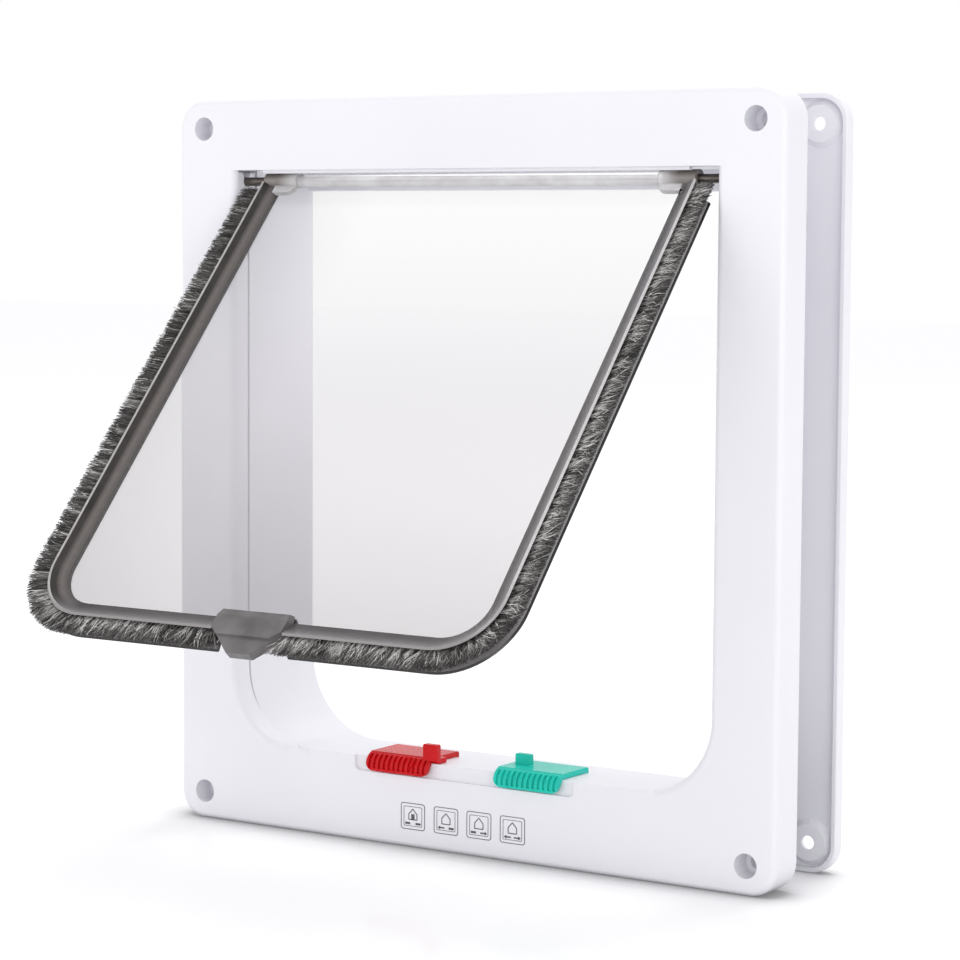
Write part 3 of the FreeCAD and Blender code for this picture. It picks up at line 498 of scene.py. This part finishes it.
def strip_mesh(name, verts, shade):
    """Mesh of narrow ribbons: verts is fibre, step, side, xyz in flap coordinates."""
    count, steps = verts.shape[:2]
    flat = flap_to_row(verts.reshape(-1, 3))
    base = (np.arange(count) * steps * 2)[:, None]
    faces = []
    for k in range(steps - 1):
        a = base + 2 * k
        faces.append(np.concatenate([a, a + 1, a + 3, a + 2], 1))
    faces = np.concatenate(faces)
    mesh = bpy.data.meshes.new(name)
    mesh.vertices.add(len(flat))
    mesh.vertices.foreach_set("co", flat.astype(np.float32).ravel())
    mesh.loops.add(faces.size)
    mesh.loops.foreach_set("vertex_index", faces.astype(np.int32).ravel())
    mesh.polygons.add(len(faces))
    mesh.polygons.foreach_set("loop_start", np.arange(0, faces.size, 4, dtype=np.int32))
    mesh.polygons.foreach_set("loop_total", np.full(len(faces), 4, dtype=np.int32))
    mesh.update(calc_edges=True)
    mesh.validate()
    layer = mesh.attributes.new("shade", "FLOAT", "POINT")
    layer.data.foreach_set("value", shade.ravel().astype(np.float32))
    return mesh


def on_flap(name, mesh, material):
    obj = linked(name, mesh, material)
    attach(obj, "flap")
    return obj


def pile_strip(side_sign, name, end_x, seed):
    """Curly fibres, cut to an even slant, salt and pepper in shade, with painted light: paler in
    front, with painted shade at the roots, towards the tips and along the left side.
    """
    rng = np.random.default_rng(seed)
    count = FIBRE_COUNT
    t = rim_samples(rim_length(end_x), count, rng)
    place, out = rim_path(t)
    along = np.stack([out[:, 1], -out[:, 0]], 1)
    across = rng.random(count) ** 0.7
    trim = PILE_REACH_REAR + (PILE_REACH - PILE_REACH_REAR) * across
    short = (rng.random(count) < 0.5) & (across > 0.6)
    part = np.where(short, 0.45 + 0.55 * rng.random(count) ** 0.6, 1.0)
    reach = PILE_ROOT + (trim + rng.normal(-0.1, 0.08, count) - PILE_ROOT) * part
    root_room = ROOT_REAR + ROOT_SPREAD * across
    full_room = TIP_REAR + TIP_SPREAD * across
    tip_room = root_room + (full_room - root_room) * part ** 0.6 + rng.normal(0, 0.12, count)
    fan = 1.0 - 0.42 * across
    combed = (out[:, 0] > 0.8) & (side_sign < 0)
    lean = rng.normal(0, 1, count) * np.where(combed, 0.14, 0.34)
    curl = rng.normal(0, 1, count) * np.where(combed, 0.35, 0.8)
    curl_out = rng.normal(0, 0.2, count)
    curl_turn = rng.random(count) * 2 * math.pi
    curl_rate = 6.0 + 6.0 * rng.random(count)
    facing = rng.random(count) * math.pi
    cell_t = ((t + rng.normal(0, 0.08, count)) / TUFT_RUN).astype(int).clip(0)
    cell_a = (np.clip(across + rng.normal(0, 0.03, count), 0, 1) * TUFT_LAYERS).astype(int)
    cells = (cell_t.max() + 1, TUFT_LAYERS + 1)
    clump = rng.random(cells)[cell_t, cell_a]
    tuft = rng.random(cells[0])[cell_t]
    strand = np.where(combed, tuft, clump)
    # Random salt and pepper, with painted shade that darkens the left side.
    tone = 0.3 * rng.random(count) + np.where(combed, 0.5, 1.1) * strand ** 2.0
    sway = 2 * rng.random(cells)[cell_t, cell_a] - 1
    lean = lean * 0.5 + np.where(combed, 0.07, 0.30) * sway
    # Painted shade darkens the left side against the rest.
    side_painted_shade = np.where(combed, 0.9, 1.15)
    # Painted light on the front fibres, painted shade on the rear ones.
    front = 0.24 + 1.2 * np.clip((across - 0.4) / 0.6, 0, 1)
    row_x = side_sign * place[:, 0]
    near_lock = (np.abs(row_x - LOCK_X) < LOCK_ZONE_HALF_W) & (out[:, 1] > 0.99)
    trimmed = LOCK_ZONE_DROP - PANE_DROP + rng.normal(-0.3, 0.15, count)
    reach = np.where(near_lock, np.minimum(reach, trimmed), reach)
    verts = np.zeros((count, len(FIBRE_STEPS), 2, 3))
    shade = np.zeros((count, len(FIBRE_STEPS), 2))
    for k, f in enumerate(FIBRE_STEPS):
        o = PILE_ROOT + (reach - PILE_ROOT) * f
        wave = np.sin(curl_turn + curl_rate * f) - np.sin(curl_turn)
        slip = lean * (o - PILE_ROOT) * f + curl * wave * f
        room = root_room + (tip_room - root_room) * f ** fan + curl_out * wave * f
        centre = place + out * o[:, None] + along * slip[:, None]
        taper = FIBRE_HALF_W * np.where(combed, 1.3, 1.0) * (1.0 - FIBRE_TAPER * f)
        turned = facing + FIBRE_TWIST * f
        sideways = along * (np.cos(turned) * taper)[:, None]
        depth = np.sin(turned) * taper
        for j, sign in enumerate((-1, 1)):
            verts[:, k, j, 0] = centre[:, 0] + sign * sideways[:, 0]
            verts[:, k, j, 1] = centre[:, 1] + sign * sideways[:, 1]
            verts[:, k, j, 2] = room + sign * depth
        fleck = 0.55 + 0.9 * rng.random(count)
        # Painted light past the channel's edge and painted shade towards the tips, except on the
        # left side.
        painted_tip_shade = np.where(combed, 1.0, np.interp(o, PAINTED_TIP_SHADE_REACH, PAINTED_TIP_SHADE_TONE))
        # Painted shade also darkens each fibre towards its root.
        tinted = tone * side_painted_shade * front * fleck * (0.4 + 0.6 * f ** 0.6) * painted_tip_shade
        shade[:, k, :] = np.clip(tinted, 0.02, 1.0)[:, None]
    verts[..., 0] *= side_sign
    return on_flap(name, strip_mesh(name, verts, shade), FIBRE)


def pile_core(side_sign, name, end_x):
    """Dark backing under the fibres: a wedge run round the rim."""
    t = np.linspace(0.0, rim_length(end_x), CORE_STEPS)
    place, out = rim_path(t)
    verts = []
    for p, o in zip(place, out):
        for reach, room in CORE_SECTION:
            q = p + o * reach
            verts.append((side_sign * q[0], q[1], room))
    k = len(CORE_SECTION)
    faces = []
    for i in range(len(t) - 1):
        for j in range(k):
            a, b = i * k + j, i * k + (j + 1) % k
            faces.append((a, b, b + k, a + k))
    faces.append(tuple(range(k))[::-1])
    faces.append(tuple((len(t) - 1) * k + j for j in range(k)))
    mesh = bpy.data.meshes.new(name)
    mesh.from_pydata([tuple(v) for v in flap_to_row(verts)], [], faces)
    mesh.update()
    return on_flap(name, mesh, BACKING)


FIBRE = pile_fibre()
BACKING = pile_backing()
for sign, label, seed in ((-1, "left", 11), (1, "right", 12)):
    end = sign * LOCK_X + HOLDER_HALF_W + HOLDER_GAP
    fibres = pile_strip(sign, "pile_fibres_" + label, end, seed)
    pile_core(sign, "pile_core_" + label, end)
    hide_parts("pile_strip_" + label)


def ring_faces(verts, faces, outer, inner):
    """Flat band between two outlines of equal length."""
    base = len(verts)
    count = len(outer)
    verts.extend(outer)
    verts.extend(inner)
    for i in range(count):
        j = (i + 1) % count
        faces.append((base + i, base + j, base + count + j, base + count + i))


def rounded_square(half_w, half_h, r, steps=4):
    points = []
    for cx, cz, start in ((half_w - r, half_h - r, 0), (r - half_w, half_h - r, 90),
                          (r - half_w, r - half_h, 180), (half_w - r, r - half_h, 270)):
        for i in range(steps + 1):
            a = math.radians(start + 90 * i / steps)
            points.append((cx + r * math.cos(a), cz + r * math.sin(a)))
    return points


def bar(verts, faces, a, b, half):
    """Straight stroke from a to b."""
    dx, dz = b[0] - a[0], b[1] - a[1]
    length = math.hypot(dx, dz)
    nx, nz = -dz / length * half, dx / length * half
    base = len(verts)
    verts.extend([(a[0] + nx, a[1] + nz), (a[0] - nx, a[1] - nz), (b[0] - nx, b[1] - nz),
                  (b[0] + nx, b[1] + nz)])
    faces.append((base, base + 1, base + 2, base + 3))


def arrow(verts, faces, x0, x1, z):
    """Arrow from x0 to x1 with a solid head."""
    turn = 1 if x1 > x0 else -1
    bar(verts, faces, (x0, z), (x1 - turn * 0.9, z), 0.24)
    base = len(verts)
    verts.extend([(x1, z), (x1 - turn * 1.0, z + 0.65), (x1 - turn * 1.0, z - 0.65)])
    faces.append((base, base + 1, base + 2))


def house(verts, faces, filled):
    """Plain gabled outline, or the same with a filled doorway."""
    line = [(-1.65, -1.1), (-1.65, 0.75), (0.0, 2.5), (1.65, 0.75), (1.65, -1.1)]
    for a, b in zip(line, line[1:] + line[:1]):
        bar(verts, faces, a, b, 0.16)
    if filled:
        base = len(verts)
        verts.extend([(-0.65, -1.1), (0.65, -1.1), (0.65, 0.75), (-0.65, 0.75)])
        faces.append((base, base + 1, base + 2, base + 3))


def sign(kind):
    """One pictogram: a double frame, a house, and arrows or stops for the lock's state."""
    verts, faces = [], []
    for inset, line, r in SIGN_FRAMES:
        half_w, half_h = SIGN_W / 2 - inset, SIGN_H / 2 - inset
        ring_faces(verts, faces, rounded_square(half_w, half_h, r),
                   rounded_square(half_w - line, half_h - line, r - line * 0.8))
    house(verts, faces, kind == "both_locked")
    for turn, free in ((-1, kind in ("in", "both")), (1, kind in ("out", "both"))):
        if free:
            arrow(verts, faces, 0.6 * turn, 3.3 * turn, STROKE_Z)
        else:
            bar(verts, faces, (1.1 * turn, STROKE_Z), (3.1 * turn, STROKE_Z), STOP_HALF)
    return verts, faces


def printed_signs():
    verts, faces = [], []
    for x, kind in zip(SIGN_XS, ("both_locked", "in", "out", "both")):
        flat, flat_faces = sign(kind)
        base = len(verts)
        verts.extend(((x + u) * MM, (FACE_Y - INK_THICK) * MM, (SIGN_Z + w) * MM) for u, w in flat)
        faces.extend(tuple(base + i for i in face) for face in flat_faces)
    mesh = bpy.data.meshes.new("lock_signs")
    mesh.from_pydata(verts, [], faces)
    mesh.update()
    obj = linked("lock_signs", mesh, printed_ink())
    solid = obj.modifiers.new("ink", "SOLIDIFY")
    solid.thickness = INK_THICK * MM
    solid.offset = 0.0
    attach(obj, "frame")


printed_signs()


def studio_floor():
    """Pale glossy floor that melts into the white behind it and keeps the object's shadow, with a
    painted contact shadow where the object stands close.
    """
    mesh = bpy.data.meshes.new("floor")
    corners = ((-1, -1), (1, -1), (1, 1), (-1, 1))
    mesh.from_pydata([(x * FLOOR_HALF, y * FLOOR_HALF, FLOOR_Z) for x, y in corners],
                     [], [(0, 1, 2, 3)])
    n = Nodes("floor_white")
    # Painted contact shadow: the floor's colour darkens where occlusion finds the object near.
    near = n.add("ShaderNodeAmbientOcclusion", {"Distance": 0.013}, samples=8).outputs["AO"]
    tint = n.ramp(near, [(0.45, (0.30, 0.30, 0.31)), (0.72, (0.70, 0.70, 0.71)),
                         (0.97, (0.93, 0.93, 0.935))])
    matt = n.add("ShaderNodeBsdfDiffuse", {"Color": tint}).outputs[0]
    gloss = n.add("ShaderNodeBsdfGlossy", {
        "Color": (1.0, 1.0, 1.0, 1.0), "Roughness": 0.07}).outputs[0]
    body = n.add("ShaderNodeMixShader", {0: 0.05, 1: matt, 2: gloss}).outputs[0]
    place = n.add("ShaderNodeNewGeometry").outputs["Position"]
    away = n.add("ShaderNodeVectorMath", {0: place}, operation="LENGTH").outputs["Value"]
    far = n.mapped(away, 0.25, 1.1, 0.14, 0.17)
    path = n.add("ShaderNodeLightPath").outputs
    reflected = n.math("MAXIMUM", path["Is Glossy Ray"], path["Is Transmission Ray"])
    seen = n.math("MAXIMUM", path["Is Camera Ray"], reflected)
    lift = n.add("ShaderNodeEmission", {
        "Color": (1.0, 1.0, 1.0, 1.0), "Strength": n.math("MULTIPLY", seen, far)}).outputs[0]
    floor_white = n.finish(n.add("ShaderNodeAddShader", {0: body, 1: lift}).outputs[0])
    linked("floor", mesh, floor_white)


def studio_world():
    """White to the eye and in reflections, and a softer even light on the object."""
    world = bpy.data.worlds.new("studio")
    bpy.context.scene.world = world
    world.use_nodes = True
    tree = world.node_tree
    tree.nodes.clear()
    out = tree.nodes.new("ShaderNodeOutputWorld")
    seen = tree.nodes.new("ShaderNodeBackground")
    seen.inputs["Color"].default_value = (1.0, 1.0, 1.0, 1.0)
    lit = tree.nodes.new("ShaderNodeBackground")
    lit.inputs["Color"].default_value = (0.985, 0.985, 1.0, 1.0)
    lit.inputs["Strength"].default_value = 0.88
    path = tree.nodes.new("ShaderNodeLightPath")
    either = tree.nodes.new("ShaderNodeMath")
    either.operation = "MAXIMUM"
    both = tree.nodes.new("ShaderNodeMath")
    both.operation = "MAXIMUM"
    tree.links.new(path.outputs["Is Camera Ray"], either.inputs[0])
    tree.links.new(path.outputs["Is Transmission Ray"], either.inputs[1])
    tree.links.new(either.outputs[0], both.inputs[0])
    tree.links.new(path.outputs["Is Glossy Ray"], both.inputs[1])
    mix = tree.nodes.new("ShaderNodeMixShader")
    tree.links.new(both.outputs[0], mix.inputs[0])
    tree.links.new(lit.outputs[0], mix.inputs[1])
    tree.links.new(seen.outputs[0], mix.inputs[2])
    tree.links.new(mix.outputs[0], out.inputs["Surface"])


def area_light(name, place, target, size, power):
    data = bpy.data.lights.new(name, "AREA")
    data.shape = "SQUARE"
    data.size = size
    data.energy = power
    lamp = bpy.data.objects.new(name, data)
    lamp.location = place
    aim = Vector(target) - Vector(place)
    lamp.rotation_mode = "QUATERNION"
    lamp.rotation_quaternion = aim.to_track_quat("-Z", "Y")
    bpy.context.scene.collection.objects.link(lamp)


def photo_camera():
    """Camera that sees the object as the photo does."""
    yaw, pitch, roll = (math.radians(a) for a in (33.14, 4.79, 0.37))
    forward = Vector((-math.sin(yaw) * math.cos(pitch), math.cos(yaw) * math.cos(pitch),
                      -math.sin(pitch)))
    right = Vector((math.cos(yaw), math.sin(yaw), 0.0))
    up = right.cross(forward)
    right = right * math.cos(roll) + up * math.sin(roll)
    up = right.cross(forward)
    data = bpy.data.cameras.new("camera")
    data.sensor_width = 36.0
    data.lens = 107.73
    data.clip_start = 0.05
    data.clip_end = 50.0
    camera = bpy.data.objects.new("camera", data)
    turn = Matrix((right, up, -forward)).transposed().to_4x4()
    camera.matrix_world = Matrix.Translation(Vector((518.08, -795.87, 78.19)) * MM) @ turn
    bpy.context.scene.collection.objects.link(camera)
    return camera


studio_floor()
studio_world()
area_light("left_front", (-0.75, -1.0, 0.25), (-0.05, 0.0, 0.0), 0.9, 1.1)
area_light("back", (0.0, 0.9, 1.5), (0.0, 0.0, 0.0), 0.9, 9.0)
area_light("right", (1.05, -1.15, 0.05), (0.1, 0.0, 0.0), 0.9, 6.0)
area_light("low", (-0.1, -1.4, -0.02), (-0.02, 0.0, -0.1), 0.7, 1.0)

scene = bpy.context.scene
scene.camera = photo_camera()
scene.view_settings.view_transform = "Standard"
